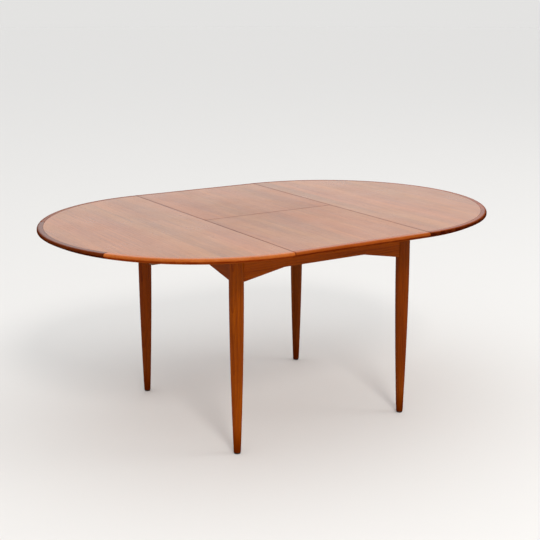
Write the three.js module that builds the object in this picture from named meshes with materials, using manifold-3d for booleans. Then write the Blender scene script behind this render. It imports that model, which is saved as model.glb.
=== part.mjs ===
// Extending dining table: a round top in two halves on runners, drawn apart, with a folding centre leaf.
// Millimetres, +Z up. The origin is on the floor under the middle of the top.
// X runs along the table, the way the half-tops slide. Y runs across it, and the front is -Y.

import * as THREE from "three";
import { mergeVertices } from "three/addons/utils/BufferGeometryUtils.js";
import Module from "manifold-3d";

// ---------- Driving dimensions ----------

const GAP = 0.3; // between pieces that touch
const TABLE_HEIGHT = 730;
const TOP_RADIUS = 585; // of the round top when the table is closed
const LEAF_WIDTH = 544; // what the leaf adds along X
const TOP_THICKNESS = 22;

// Solid wood band round the veneered panels
const LIPPING_WIDTH = 22;
const EDGE_ROUND = 7; // rounding of the upper arris
const EDGE_FLAT = 4; // upright part of the edge, above the undercut
const END_SEGMENT_ANGLE = 29; // degrees each side of the table's end

// Legs, on a square plan
const LEG_OFFSET = 347;
const LEG_RADIUS = 25;
const FOOT_RADIUS = 12;
const TAPER_START = 590; // height where the taper begins
const TAPER_POWER = 1.8;
const LEG_SIDES = 24;

const GLIDE_HEIGHT = 4;
const GLIDE_RADIUS = 11;
const GLIDE_PIN_RADIUS = 2;
const GLIDE_PIN_LENGTH = 10;

// Aprons
const FRAME_TOP = 707.5;
const APRON_THICKNESS = 20;
const APRON_OUTER = 357;
const ARCH_HEIGHT = 621; // lower edge in the middle
const ARCH_FOOT = 592; // lower edge at the legs
const ARCH_KNEE = 165; // where the lower edge starts to fall
const TENON_THICKNESS = 8;
const TENON_LENGTH = 15;
const TENON_BOTTOM = 640;
const TENON_TOP = 695;

// Runners under the half-tops, grooved for the fixed rails between them
const RUNNER_WIDTH = 18;
const RUNNER_PLAY = 0.5; // clearance in the end aprons' notches
const RUNNER_BOTTOM = 682;
const RUNNER_LENGTH = 800;
const RUNNER_OUTER_END = 650;
const RUNNER_NOSE = 14; // bevel under the outer end
const LEFT_RUNNER_Y = 312; // the left half's pair runs outside the rails
const RIGHT_RUNNER_Y = 281; // the right half's pair runs inside them
const GROOVE_DEPTH = 6;
const GROOVE_HEIGHT = 9;
const TONGUE_REACH = 5;
const TONGUE_HEIGHT = 8;
const TONGUE_CENTRE_Z = 695;

const RAIL_Y = 296.5;
const RAIL_THICKNESS = 12;
const RAIL_BOTTOM = 675;
const RAIL_TOP = 706;
const RAIL_TENON_TOP = 681;
const RAIL_TENON_WIDTH = 8;
const RAIL_TENON_LENGTH = 8;

// Pegs that stop the half-tops when they are pulled out
const TRAVEL = 80;
const PEG_RADIUS = 4;
const PEG_BOTTOM = 675;
const PEG_TOP = 689;
const PEG_CLEARANCE = 0.5;

// Wood screws that hold the runners to the half-tops
const SCREW_XS = [400, 610];
const SCREW_SHIFT = 1.5; // away from the groove
const SCREW_SHANK_RADIUS = 2;
const SCREW_HEAD_RADIUS = 4;
const SCREW_HEAD_HEIGHT = 3;
const SCREW_TIP = 720;

// Bearers that carry the folded leaf when it is put away
const BEARER_X = 230;
const BEARER_WIDTH = 40;
const BEARER_BOTTOM = 618;
const BEARER_TOP = 628;
const BEARER_TENON_WIDTH = 30;
const BEARER_TENON_LENGTH = 8;
const BEARER_SHOULDER = 2; // above and below the tenon

// Corner blocks behind the legs, each with one screw into its leg
const BLOCK_REACH = 62;
const BLOCK_BOTTOM = 606;
const BLOCK_TOP = 672;
const BLOCK_SCREW_Z = 623;
const BLOCK_SCREW_RADIUS = 3;
const BLOCK_SCREW_HEAD_RADIUS = 6;
const BLOCK_SCREW_HEAD_HEIGHT = 4;
const BLOCK_SCREW_DEPTH = 12; // how near the tip comes to the leg's axis

// Concealed cylinder hinges in the seam between the halves of the leaf
const HINGE_XS = [-200, 0, 200];
const HINGE_SEAM = 0.4; // half the gap between the halves
const BARREL_RADIUS = 6;
const BARREL_LENGTH = 14;
const BARREL_SLOT_WIDTH = 3;
const BARREL_SLOT_DEPTH = 7;

// ---------- Derived dimensions ----------

const TOP_UNDERSIDE = TABLE_HEIGHT - TOP_THICKNESS;
const HALF_LEAF = LEAF_WIDTH / 2;
const PANEL_RADIUS = TOP_RADIUS - LIPPING_WIDTH;
const APRON_INNER = APRON_OUTER - APRON_THICKNESS;
const TENON_END = LEG_OFFSET - LEG_RADIUS + TENON_LENGTH;
const RUNNER_TOP = TOP_UNDERSIDE - GAP;
const RUNNER_INNER_END = RUNNER_LENGTH - RUNNER_OUTER_END;
const PEG_X = APRON_INNER - TRAVEL - PEG_RADIUS - PEG_CLEARANCE;
const HINGE_Z = TABLE_HEIGHT - TOP_THICKNESS / 2;

// ---------- Materials ----------

const TEAK_TOP = [0xb4693a, 0.35, 0];
const TEAK_EDGE_LIGHT = [0xc8642a, 0.4, 0];
const TEAK_EDGE = [0xa8502a, 0.4, 0];
const TEAK_EDGE_DARK = [0x5a2412, 0.4, 0];
const TEAK_FRAME = [0x8c3c12, 0.45, 0];
const HARDWOOD = [0x9a6a3c, 0.6, 0];
const BRASS = [0xb5923f, 0.35, 1];
const STEEL = [0x9a9a98, 0.4, 1];
const GLIDE_PLASTIC = [0x2a2420, 0.6, 0];

const table = new THREE.Group();
table.name = "extending_table";

function addPiece(name, geometry, [color, roughness, metalness]) {
  const material = new THREE.MeshStandardMaterial({ color, roughness, metalness });
  const mesh = new THREE.Mesh(geometry, material);
  mesh.name = name;
  table.add(mesh);
  return mesh;
}

// ---------- Solids ----------

const wasm = await Module();
wasm.setup();

const X_AXIS = new THREE.Vector3(1, 0, 0);
const Y_AXIS = new THREE.Vector3(0, 1, 0);
const Z_AXIS = new THREE.Vector3(0, 0, 1);

function toSolid(geometry) {
  const plain = geometry.index ? geometry.toNonIndexed() : geometry;
  plain.deleteAttribute("normal");
  plain.deleteAttribute("uv");
  const merged = mergeVertices(plain, 1e-4);
  const vertProperties = merged.attributes.position.array;
  const triVerts = new Uint32Array(merged.index.array);
  return new wasm.Manifold(new wasm.Mesh({ numProp: 3, vertProperties, triVerts }));
}

function toGeometry(solid) {
  const mesh = solid.getMesh();
  const geometry = new THREE.BufferGeometry();
  geometry.setAttribute("position", new THREE.BufferAttribute(mesh.vertProperties, 3));
  geometry.setIndex(new THREE.BufferAttribute(mesh.triVerts, 1));
  const flat = geometry.toNonIndexed();
  flat.computeVertexNormals();
  return flat;
}

function addSolid(name, solid, material) {
  return addPiece(name, toGeometry(solid), material);
}

// A box between two corners, whose coordinates may come in either order.
function box(from, to) {
  const a = new THREE.Vector3(...from);
  const b = new THREE.Vector3(...to);
  const size = b.clone().sub(a);
  const geometry = new THREE.BoxGeometry(Math.abs(size.x), Math.abs(size.y), Math.abs(size.z));
  const middle = a.add(b).multiplyScalar(0.5);
  return toSolid(geometry.translate(middle.x, middle.y, middle.z));
}

// A solid turned about a line, from a profile of [radius, distance along the line].
function turned(profile, sides, start, direction) {
  const points = profile.map(([radius, along]) => new THREE.Vector2(radius, along));
  const geometry = new THREE.LatheGeometry(points, sides);
  const turn = new THREE.Quaternion().setFromUnitVectors(Y_AXIS, direction.clone().normalize());
  geometry.applyQuaternion(turn);
  return toSolid(geometry.translate(...start));
}

function cylinder(radius, length, sides, start, direction) {
  const profile = [
    [0, 0],
    [radius, 0],
    [radius, length],
    [0, length],
  ];
  return turned(profile, sides, start, direction);
}

// An outline of [across, up] points drawn through a distance along the third axis.
function extruded(outline, across, up, along, from, length) {
  const shape = new THREE.Shape(outline.map(([x, y]) => new THREE.Vector2(x, y)));
  const geometry = new THREE.ExtrudeGeometry(shape, { depth: length, bevelEnabled: false });
  geometry.applyMatrix4(new THREE.Matrix4().makeBasis(across, up, along));
  const shift = along.clone().multiplyScalar(from);
  return toSolid(geometry.translate(shift.x, shift.y, shift.z));
}

// ---------- Edge of the top ----------

// Section of the lipping: [distance outward from its inner face, height].
// The upper arris is rounded, and the underside is cut away so that the edge looks thin.
function edgeSection() {
  const width = LIPPING_WIDTH - GAP;
  const flatTop = TABLE_HEIGHT - EDGE_ROUND;
  const flatBottom = flatTop - EDGE_FLAT;
  const section = [
    [0, TOP_UNDERSIDE],
    [width - 1, flatBottom - 1],
    [width, flatBottom],
  ];
  const steps = 4;
  for (let i = 0; i <= steps; i++) {
    const angle = ((i / steps) * Math.PI) / 2;
    const out = width - EDGE_ROUND * (1 - Math.cos(angle));
    section.push([out, flatTop + EDGE_ROUND * Math.sin(angle)]);
  }
  section.push([0, TABLE_HEIGHT]);
  return section;
}

// ---------- Half-tops ----------

// side is -1 for the left half and +1 for the right half.
// Angles are measured about the half's own centre, from the table's end towards the back.
function planPoint(side, radius, degrees) {
  const angle = THREE.MathUtils.degToRad(degrees);
  return [side * (HALF_LEAF + radius * Math.cos(angle)), radius * Math.sin(angle)];
}

function addHalfPanel(side, word) {
  const height = TOP_THICKNESS;
  const start = [side * HALF_LEAF, 0, TOP_UNDERSIDE];
  let panel = cylinder(PANEL_RADIUS, height, 96, start, Z_AXIS);
  const halfPlane = box(
    [side * HALF_LEAF, -TOP_RADIUS, TOP_UNDERSIDE - 1],
    [side * (HALF_LEAF + TOP_RADIUS), TOP_RADIUS, TABLE_HEIGHT + 1],
  );
  panel = panel.intersect(halfPlane);
  for (const { x, y } of screwPlaces(side)) {
    const pilotRadius = SCREW_SHANK_RADIUS + GAP;
    const depth = SCREW_TIP - TOP_UNDERSIDE + GAP + 1;
    panel = panel.subtract(cylinder(pilotRadius, depth, 12, [x, y, TOP_UNDERSIDE - 1], Z_AXIS));
  }
  addSolid(`top_panel_${word}`, panel, TEAK_TOP);
}

function addLippingRing(side, word) {
  const inner = PANEL_RADIUS + GAP;
  const section = edgeSection().map(([out, height]) => [inner + out, height]);
  section.push(section[0]);
  const ring = turned(section, 96, [side * HALF_LEAF, 0, 0], Z_AXIS);
  const jointGap = THREE.MathUtils.radToDeg(GAP / TOP_RADIUS) / 2;
  const segments = [
    ["front", -90, -END_SEGMENT_ANGLE - jointGap, side < 0 ? TEAK_EDGE_LIGHT : TEAK_EDGE_DARK],
    ["end", -END_SEGMENT_ANGLE + jointGap, END_SEGMENT_ANGLE - jointGap, TEAK_EDGE_DARK],
    ["back", END_SEGMENT_ANGLE + jointGap, 90, TEAK_EDGE],
  ];
  for (const [place, from, to, material] of segments) {
    const reach = 2 * TOP_RADIUS;
    const wedge = [planPoint(side, 0, 0), planPoint(side, reach, from), planPoint(side, reach, to)];
    const sector = extruded(wedge, X_AXIS, Y_AXIS, Z_AXIS, TOP_UNDERSIDE - 1, TOP_THICKNESS + 2);
    addSolid(`lipping_${word}_${place}`, ring.intersect(sector), material);
  }
}

// ---------- Runners ----------

function runnerY(side) {
  return side < 0 ? LEFT_RUNNER_Y : RIGHT_RUNNER_Y;
}

// Screw positions under one half-top, at both of its runners.
function screwPlaces(side) {
  const awayFromRail = side < 0 ? SCREW_SHIFT : -SCREW_SHIFT;
  const places = [];
  for (const [end, row] of [["front", -1], ["back", 1]]) {
    SCREW_XS.forEach((x, i) => {
      const y = row * (runnerY(side) + awayFromRail);
      places.push({ name: `${end}_${i + 1}`, end, x: side * x, y });
    });
  }
  return places;
}

function runnerScrew(x, y) {
  const bottom = RUNNER_BOTTOM + GAP;
  const length = SCREW_TIP - bottom;
  const profile = [
    [0, 0],
    [SCREW_HEAD_RADIUS, 0],
    [SCREW_HEAD_RADIUS, 0.6],
    [SCREW_SHANK_RADIUS, SCREW_HEAD_HEIGHT],
    [SCREW_SHANK_RADIUS, length - 4],
    [0, length],
  ];
  return turned(profile, 12, [x, y, bottom], Z_AXIS);
}

function addRunner(side, word, end, row) {
  const y = row * runnerY(side);
  const bevelled = [
    [side * RUNNER_OUTER_END, RUNNER_BOTTOM + RUNNER_NOSE],
    [side * (RUNNER_OUTER_END - RUNNER_NOSE), RUNNER_BOTTOM],
    [-side * RUNNER_INNER_END, RUNNER_BOTTOM],
    [-side * RUNNER_INNER_END, RUNNER_TOP],
    [side * RUNNER_OUTER_END, RUNNER_TOP],
  ];
  const alongMinusY = Y_AXIS.clone().negate();
  let runner = extruded(bevelled, X_AXIS, Z_AXIS, alongMinusY, -y - RUNNER_WIDTH / 2, RUNNER_WIDTH);

  // The groove is on the face towards the fixed rail.
  const towardsRail = side < 0 ? -row : row;
  const grooveFace = y + (towardsRail * RUNNER_WIDTH) / 2;
  const grooveBottom = TONGUE_CENTRE_Z - GROOVE_HEIGHT / 2;
  const groove = box(
    [-RUNNER_LENGTH, grooveFace + towardsRail, grooveBottom],
    [RUNNER_LENGTH, grooveFace - towardsRail * GROOVE_DEPTH, grooveBottom + GROOVE_HEIGHT],
  );
  runner = runner.subtract(groove);

  const pegX = side * PEG_X;
  const pegBore = PEG_TOP + GAP - RUNNER_BOTTOM + 1;
  const pegHole = cylinder(PEG_RADIUS + GAP, pegBore, 16, [pegX, y, RUNNER_BOTTOM - 1], Z_AXIS);
  runner = runner.subtract(pegHole);
  for (const place of screwPlaces(side)) {
    if (place.end !== end) continue;
    const start = [place.x, place.y, RUNNER_BOTTOM - 1];
    const shankHole = cylinder(SCREW_SHANK_RADIUS + GAP, RUNNER_TOP - RUNNER_BOTTOM + 2, 12, start, Z_AXIS);
    const sink = cylinder(SCREW_HEAD_RADIUS + GAP, SCREW_HEAD_HEIGHT + 2, 12, start, Z_AXIS);
    runner = runner.subtract(shankHole).subtract(sink);
    addSolid(`runner_screw_${word}_${place.name}`, runnerScrew(place.x, place.y), STEEL);
  }
  addSolid(`runner_${word}_${end}`, runner, HARDWOOD);

  const peg = cylinder(PEG_RADIUS, PEG_TOP - PEG_BOTTOM, 16, [pegX, y, PEG_BOTTOM], Z_AXIS);
  addSolid(`stop_peg_${word}_${end}`, peg, HARDWOOD);
}

for (const [side, word] of [[-1, "left"], [1, "right"]]) {
  addHalfPanel(side, word);
  addLippingRing(side, word);
  addRunner(side, word, "front", -1);
  addRunner(side, word, "back", 1);
}

// ---------- Folding leaf ----------

// row is -1 for the front half of the leaf and +1 for the back half.
function addLeafHalf(row, word) {
  const halfWidth = HALF_LEAF - GAP;
  const seam = row * HINGE_SEAM;
  let panel = box(
    [-halfWidth, seam, TOP_UNDERSIDE],
    [halfWidth, row * PANEL_RADIUS, TABLE_HEIGHT],
  );
  const outward = Y_AXIS.clone().multiplyScalar(row);
  HINGE_XS.forEach((x, i) => {
    const bore = BARREL_LENGTH + 2 * GAP;
    const boreStart = [x, seam - row, HINGE_Z];
    panel = panel.subtract(cylinder(BARREL_RADIUS + GAP, bore + 1, 20, boreStart, outward));
    const barrelStart = [x, seam + row * GAP, HINGE_Z];
    const barrel = cylinder(BARREL_RADIUS, BARREL_LENGTH, 20, barrelStart, outward);
    const slotEnd = barrelStart[1] + row * BARREL_SLOT_DEPTH;
    const slot = box(
      [x - BARREL_SLOT_WIDTH / 2, seam - row, HINGE_Z - 2 * BARREL_RADIUS],
      [x + BARREL_SLOT_WIDTH / 2, slotEnd, HINGE_Z + 2 * BARREL_RADIUS],
    );
    addSolid(`hinge_barrel_${word}_${i + 1}`, barrel.subtract(slot), BRASS);
  });
  addSolid(`leaf_panel_${word}`, panel, TEAK_TOP);

  const inner = PANEL_RADIUS + GAP;
  const section = edgeSection().map(([out, height]) => [row * (inner + out), height]);
  const lipping = extruded(section, Y_AXIS, Z_AXIS, X_AXIS, -halfWidth, 2 * halfWidth);
  addSolid(`leaf_lipping_${word}`, lipping, TEAK_EDGE);
}

addLeafHalf(-1, "front");
addLeafHalf(1, "back");

// ---------- Legs and glides ----------

// Round leg, straight at the aprons, then a swelling taper to a slim foot.
function legSolid(x, y) {
  const bottom = GLIDE_HEIGHT + GAP;
  const profile = [[0, bottom]];
  const steps = 12;
  for (let i = 0; i <= steps; i++) {
    const z = bottom + ((TAPER_START - bottom) * i) / steps;
    const thinning = (LEG_RADIUS - FOOT_RADIUS) * (1 - z / TAPER_START) ** TAPER_POWER;
    profile.push([LEG_RADIUS - thinning, z]);
  }
  profile.push([LEG_RADIUS, FRAME_TOP], [0, FRAME_TOP]);
  let leg = turned(profile, LEG_SIDES, [x, y, 0], Z_AXIS);

  // One mortise for each of the two aprons, entering from the inside of the frame
  const mouth = LEG_OFFSET - 2 * LEG_RADIUS;
  const end = TENON_END + GAP;
  const half = TENON_THICKNESS / 2 + GAP;
  const low = TENON_BOTTOM - GAP;
  const high = TENON_TOP + GAP;
  const sx = Math.sign(x);
  const sy = Math.sign(y);
  leg = leg.subtract(box([sx * mouth, y - half, low], [sx * end, y + half, high]));
  leg = leg.subtract(box([x - half, sy * mouth, low], [x + half, sy * end, high]));

  const pinHole = GLIDE_PIN_LENGTH + 2 * GAP + 1;
  leg = leg.subtract(cylinder(GLIDE_PIN_RADIUS + GAP, pinHole, 12, [x, y, bottom - 1], Z_AXIS));

  const inward = new THREE.Vector3(-sx, -sy, 0).normalize();
  const tip = inward.clone().multiplyScalar(BLOCK_SCREW_DEPTH - GAP);
  const start = [x + tip.x, y + tip.y, BLOCK_SCREW_Z];
  return leg.subtract(cylinder(BLOCK_SCREW_RADIUS + GAP, 2 * LEG_RADIUS, 12, start, inward));
}

function glideSolid(x, y) {
  const profile = [
    [0, 0],
    [GLIDE_RADIUS - 1, 0],
    [GLIDE_RADIUS, 1],
    [GLIDE_RADIUS, GLIDE_HEIGHT],
    [GLIDE_PIN_RADIUS, GLIDE_HEIGHT],
    [GLIDE_PIN_RADIUS, GLIDE_HEIGHT + GLIDE_PIN_LENGTH],
    [0, GLIDE_HEIGHT + GLIDE_PIN_LENGTH],
  ];
  return turned(profile, 16, [x, y, 0], Z_AXIS);
}

// ---------- Corner blocks ----------

// A block in the corner between two aprons, and the screw that runs through it into the leg.
function addCornerBlock(x, y, word) {
  const sx = Math.sign(x);
  const sy = Math.sign(y);
  const face = APRON_INNER - GAP;
  const outline = [
    [sx * (face - BLOCK_REACH), sy * face],
    [sx * face, sy * (face - BLOCK_REACH)],
    [sx * face, sy * face],
  ];
  const height = BLOCK_TOP - BLOCK_BOTTOM;
  const block = extruded(outline, X_AXIS, Y_AXIS, Z_AXIS, BLOCK_BOTTOM, height);
  const legSpace = cylinder(LEG_RADIUS + GAP, TABLE_HEIGHT, LEG_SIDES, [x, y, 0], Z_AXIS);

  // The screw starts at the block's slanting face and runs along the diagonal.
  const outward = new THREE.Vector3(sx, sy, 0).normalize();
  const faceDistance = (2 * LEG_OFFSET - (2 * face - BLOCK_REACH)) / Math.SQRT2;
  const onAxis = (distance) => [x - outward.x * distance, y - outward.y * distance, BLOCK_SCREW_Z];
  const mouth = onAxis(faceDistance + 1);
  const shankHole = cylinder(BLOCK_SCREW_RADIUS + GAP, faceDistance, 12, mouth, outward);
  const sinkDepth = BLOCK_SCREW_HEAD_HEIGHT + 2 * GAP + 1;
  const sink = cylinder(BLOCK_SCREW_HEAD_RADIUS + GAP, sinkDepth, 12, mouth, outward);
  const cut = block.subtract(legSpace).subtract(shankHole).subtract(sink);
  addSolid(`corner_block_${word}`, cut, HARDWOOD);

  const length = faceDistance - GAP - BLOCK_SCREW_DEPTH;
  const profile = [
    [0, 0],
    [BLOCK_SCREW_HEAD_RADIUS, 0],
    [BLOCK_SCREW_HEAD_RADIUS, BLOCK_SCREW_HEAD_HEIGHT],
    [BLOCK_SCREW_RADIUS, BLOCK_SCREW_HEAD_HEIGHT],
    [BLOCK_SCREW_RADIUS, length - 3],
    [0, length],
  ];
  const screw = turned(profile, 12, onAxis(faceDistance - GAP), outward);
  addSolid(`corner_screw_${word}`, screw, STEEL);
}

for (const [x, sideWord] of [[-LEG_OFFSET, "left"], [LEG_OFFSET, "right"]]) {
  for (const [y, rowWord] of [[-LEG_OFFSET, "front"], [LEG_OFFSET, "back"]]) {
    const word = `${rowWord}_${sideWord}`;
    addSolid(`leg_${word}`, legSolid(x, y), TEAK_FRAME);
    addSolid(`glide_${word}`, glideSolid(x, y), GLIDE_PLASTIC);
    addCornerBlock(x, y, word);
  }
}

// ---------- Aprons ----------

// An apron along X on the +Y side, with its ends hollowed to fit the round legs and a tenon at each end.
function apronSolid() {
  const kneeToLeg = LEG_OFFSET - LEG_RADIUS;
  const outline = [
    [-LEG_OFFSET, ARCH_FOOT],
    [-kneeToLeg, ARCH_FOOT],
    [-ARCH_KNEE, ARCH_HEIGHT],
    [ARCH_KNEE, ARCH_HEIGHT],
    [kneeToLeg, ARCH_FOOT],
    [LEG_OFFSET, ARCH_FOOT],
    [LEG_OFFSET, FRAME_TOP],
    [-LEG_OFFSET, FRAME_TOP],
  ];
  const alongMinusY = Y_AXIS.clone().negate();
  let apron = extruded(outline, X_AXIS, Z_AXIS, alongMinusY, -APRON_OUTER, APRON_THICKNESS);
  const half = TENON_THICKNESS / 2;
  for (const side of [-1, 1]) {
    const legAxis = [side * LEG_OFFSET, LEG_OFFSET, 0];
    apron = apron.subtract(cylinder(LEG_RADIUS + GAP, TABLE_HEIGHT, LEG_SIDES, legAxis, Z_AXIS));
    const root = side * (kneeToLeg - 4);
    const tenon = box(
      [root, LEG_OFFSET - half, TENON_BOTTOM],
      [side * TENON_END, LEG_OFFSET + half, TENON_TOP],
    );
    apron = apron.add(tenon);
  }
  return apron;
}

// Front and back aprons are mortised for the two bearers.
function sideApronSolid() {
  let apron = apronSolid();
  const half = BEARER_TENON_WIDTH / 2 + GAP;
  for (const x of [-BEARER_X, BEARER_X]) {
    const mortise = box(
      [x - half, APRON_INNER - 1, BEARER_BOTTOM + BEARER_SHOULDER - GAP],
      [x + half, APRON_INNER + BEARER_TENON_LENGTH + GAP, BEARER_TOP - BEARER_SHOULDER + GAP],
    );
    apron = apron.subtract(mortise);
  }
  return apron;
}

// End aprons have open notches for the four runners, and mortises for the two rails between them.
function endApronSolid() {
  let apron = apronSolid();
  const notchHalf = RUNNER_WIDTH / 2 + RUNNER_PLAY;
  const railHalf = RAIL_TENON_WIDTH / 2 + GAP;
  for (const side of [-1, 1]) {
    for (const runner of [LEFT_RUNNER_Y, RIGHT_RUNNER_Y]) {
      const notch = box(
        [side * runner - notchHalf, APRON_INNER - 1, RUNNER_BOTTOM - RUNNER_PLAY],
        [side * runner + notchHalf, APRON_OUTER + 1, FRAME_TOP + 1],
      );
      apron = apron.subtract(notch);
    }
    const mortise = box(
      [side * RAIL_Y - railHalf, APRON_INNER - 1, RAIL_BOTTOM - GAP],
      [side * RAIL_Y + railHalf, APRON_INNER + RAIL_TENON_LENGTH + GAP, RAIL_TENON_TOP + GAP],
    );
    apron = apron.subtract(mortise);
  }
  return apron;
}

const QUARTER_TURN = Math.PI / 2;
addSolid("apron_back", sideApronSolid(), TEAK_FRAME);
addSolid("apron_front", sideApronSolid(), TEAK_FRAME).rotation.z = 2 * QUARTER_TURN;
addSolid("apron_left", endApronSolid(), TEAK_FRAME).rotation.z = QUARTER_TURN;
addSolid("apron_right", endApronSolid(), TEAK_FRAME).rotation.z = -QUARTER_TURN;

// ---------- Guide rails and bearers ----------

// A fixed rail between the end aprons, with a tongue on each side for the runners' grooves.
function railSolid(y) {
  const end = APRON_INNER - GAP;
  const half = RAIL_THICKNESS / 2;
  const rail = box([-end, y - half, RAIL_BOTTOM], [end, y + half, RAIL_TOP]);
  const reach = half + TONGUE_REACH;
  const tongueBottom = TONGUE_CENTRE_Z - TONGUE_HEIGHT / 2;
  const tongueTop = TONGUE_CENTRE_Z + TONGUE_HEIGHT / 2;
  const tongues = box([-end, y - reach, tongueBottom], [end, y + reach, tongueTop]);
  const tenonEnd = APRON_INNER + RAIL_TENON_LENGTH;
  const tenonHalf = RAIL_TENON_WIDTH / 2;
  const tenons = box([-tenonEnd, y - tenonHalf, RAIL_BOTTOM], [tenonEnd, y + tenonHalf, RAIL_TENON_TOP]);
  return rail.add(tongues).add(tenons);
}

// A flat bearer between the front and back aprons.
function bearerSolid(x) {
  const end = APRON_INNER - GAP;
  const half = BEARER_WIDTH / 2;
  const board = box([x - half, -end, BEARER_BOTTOM], [x + half, end, BEARER_TOP]);
  const tenonEnd = APRON_INNER + BEARER_TENON_LENGTH;
  const tenonHalf = BEARER_TENON_WIDTH / 2;
  const tenons = box(
    [x - tenonHalf, -tenonEnd, BEARER_BOTTOM + BEARER_SHOULDER],
    [x + tenonHalf, tenonEnd, BEARER_TOP - BEARER_SHOULDER],
  );
  return board.add(tenons);
}

addSolid("guide_rail_front", railSolid(-RAIL_Y), HARDWOOD);
addSolid("guide_rail_back", railSolid(RAIL_Y), HARDWOOD);
addSolid("leaf_bearer_left", bearerSolid(-BEARER_X), HARDWOOD);
addSolid("leaf_bearer_right", bearerSolid(BEARER_X), HARDWOOD);

export default table;
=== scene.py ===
"""Looks of an extending teak dining table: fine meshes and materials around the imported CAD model.

Metres, +Z up, the same frame as the CAD model: X along the table, -Y its front, origin on the floor.
"""

import math

import bpy
import bmesh
from mathutils import Matrix, Vector


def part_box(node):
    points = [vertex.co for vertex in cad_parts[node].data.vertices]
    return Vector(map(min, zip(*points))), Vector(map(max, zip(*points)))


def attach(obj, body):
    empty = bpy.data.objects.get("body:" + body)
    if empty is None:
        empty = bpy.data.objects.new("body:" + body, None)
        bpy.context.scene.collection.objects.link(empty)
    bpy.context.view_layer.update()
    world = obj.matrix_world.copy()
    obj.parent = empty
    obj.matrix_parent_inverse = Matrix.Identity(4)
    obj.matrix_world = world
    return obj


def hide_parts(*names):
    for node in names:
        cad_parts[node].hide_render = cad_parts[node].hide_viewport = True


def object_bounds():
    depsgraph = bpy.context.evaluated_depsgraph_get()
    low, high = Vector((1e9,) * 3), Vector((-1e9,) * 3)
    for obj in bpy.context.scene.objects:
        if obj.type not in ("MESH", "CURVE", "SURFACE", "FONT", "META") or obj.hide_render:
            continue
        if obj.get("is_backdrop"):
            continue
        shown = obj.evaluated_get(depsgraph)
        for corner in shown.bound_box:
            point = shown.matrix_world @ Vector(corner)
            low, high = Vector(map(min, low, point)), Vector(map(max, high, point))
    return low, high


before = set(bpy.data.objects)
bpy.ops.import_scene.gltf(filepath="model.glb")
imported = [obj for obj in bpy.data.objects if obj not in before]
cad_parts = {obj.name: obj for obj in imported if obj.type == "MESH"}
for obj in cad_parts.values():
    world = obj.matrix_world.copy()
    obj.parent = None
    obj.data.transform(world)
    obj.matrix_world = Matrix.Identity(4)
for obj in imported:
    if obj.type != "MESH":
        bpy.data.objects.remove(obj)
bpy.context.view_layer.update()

MM = 0.001
SIDES = {"left": -1, "right": 1}
ROWS = {"front": -1, "back": 1}

# ---------- Dimensions taken from the frame ----------

TOP_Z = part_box("top_panel_right")[1].z
UNDERSIDE_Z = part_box("top_panel_right")[0].z
SEAM_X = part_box("top_panel_right")[0].x
PANEL_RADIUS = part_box("top_panel_right")[1].x - SEAM_X
TOP_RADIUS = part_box("lipping_right_end")[1].x - SEAM_X
LEAF_HALF_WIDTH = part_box("leaf_panel_back")[1].x
LEAF_SEAM_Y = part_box("leaf_panel_back")[0].y
LIPPING_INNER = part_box("leaf_lipping_back")[0].y

# ---------- Dimensions of the finish, which the CAD leaves out ----------

SEAM_EASE = 1.1 * MM  # rounding of the arrises along the seams
SEAM_CLEARANCE = 0.2 * MM  # how far each panel stands back from the CAD's seam
SOILED_WIDTH = 1.0 * MM  # how far the old polish spreads from a seam
SOILED_DEPTH = 4.0 * MM  # how far it runs down into one
FOLD_SEAM_SHARE = 0.6  # the seam between the leaf's two halves is the finer one
HAIRLINE = 0.12 * MM  # rounding where the veneer meets its lipping
BORE_CLEARANCE = 0.1 * MM  # round a hinge barrel
BORE_OVERCUT = 0.5 * MM  # how far a bore runs past each end of its barrel
EDGE_ROUND = 7 * MM  # upper arris of the lipping
EDGE_FLAT = 4 * MM  # upright band below the rounding
NOSE_RADIUS = 1.5 * MM  # lower arris, above the undercut
NOSE_LIFT = 0.4 * MM  # how far its centre is above the upright band's foot
SOIL_AND_SHADE_FADE = 3 * MM  # how far the rounding's painted shade and soiling fades over the flat top
UNDERCUT_STANDOFF = 1 * MM  # how far the undercut's line passes from that arris
LIPPING_WIDTH = TOP_RADIUS - LIPPING_INNER
RIM_TOP_Z = TOP_Z - EDGE_ROUND
RIM_BOTTOM_Z = RIM_TOP_Z - EDGE_FLAT

SEGMENT_ANGLE = 29  # degrees each side of the table's end
JOINT_GAP_ANGLE = math.degrees(0.15 * MM / TOP_RADIUS)  # half the gap between two segments
JOINT_EASE = 0.3 * MM

# ---------- Directions ----------

ALONG_X = (1, 0, 0)
ALONG_Y = (0, 1, 0)
UPWARD = (0, 0, 1)


# ---------- Mesh helpers ----------


def middle_of(node):
    """The middle of a CAD node's box."""
    lo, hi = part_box(node)
    return (lo + hi) / 2


def new_object(name, bm):
    """A smooth-shaded object from a bmesh, with creases kept sharp."""
    bmesh.ops.recalc_face_normals(bm, faces=bm.faces)
    mesh = bpy.data.meshes.new(name)
    bm.to_mesh(mesh)
    bm.free()
    obj = bpy.data.objects.new(name, mesh)
    bpy.context.scene.collection.objects.link(obj)
    shade(obj)
    return obj


def shade(obj, angle=32):
    """Smooth shading up to an angle in degrees, and sharp edges past it."""
    mesh = obj.data
    mesh.polygons.foreach_set("use_smooth", [True] * len(mesh.polygons))
    mesh.set_sharp_from_angle(angle=math.radians(angle))


def lofted(name, loops):
    """A piece through rings of points, which all have the same number, with its ends capped."""
    bm = bmesh.new()
    rings = [[bm.verts.new(p) for p in loop] for loop in loops]
    count = len(rings[0])
    for a, b in zip(rings, rings[1:]):
        for i in range(count):
            j = (i + 1) % count
            bm.faces.new((a[i], a[j], b[j], b[i]))
    bm.faces.new(rings[0][::-1])
    bm.faces.new(rings[-1])
    return new_object(name, bm)


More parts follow.
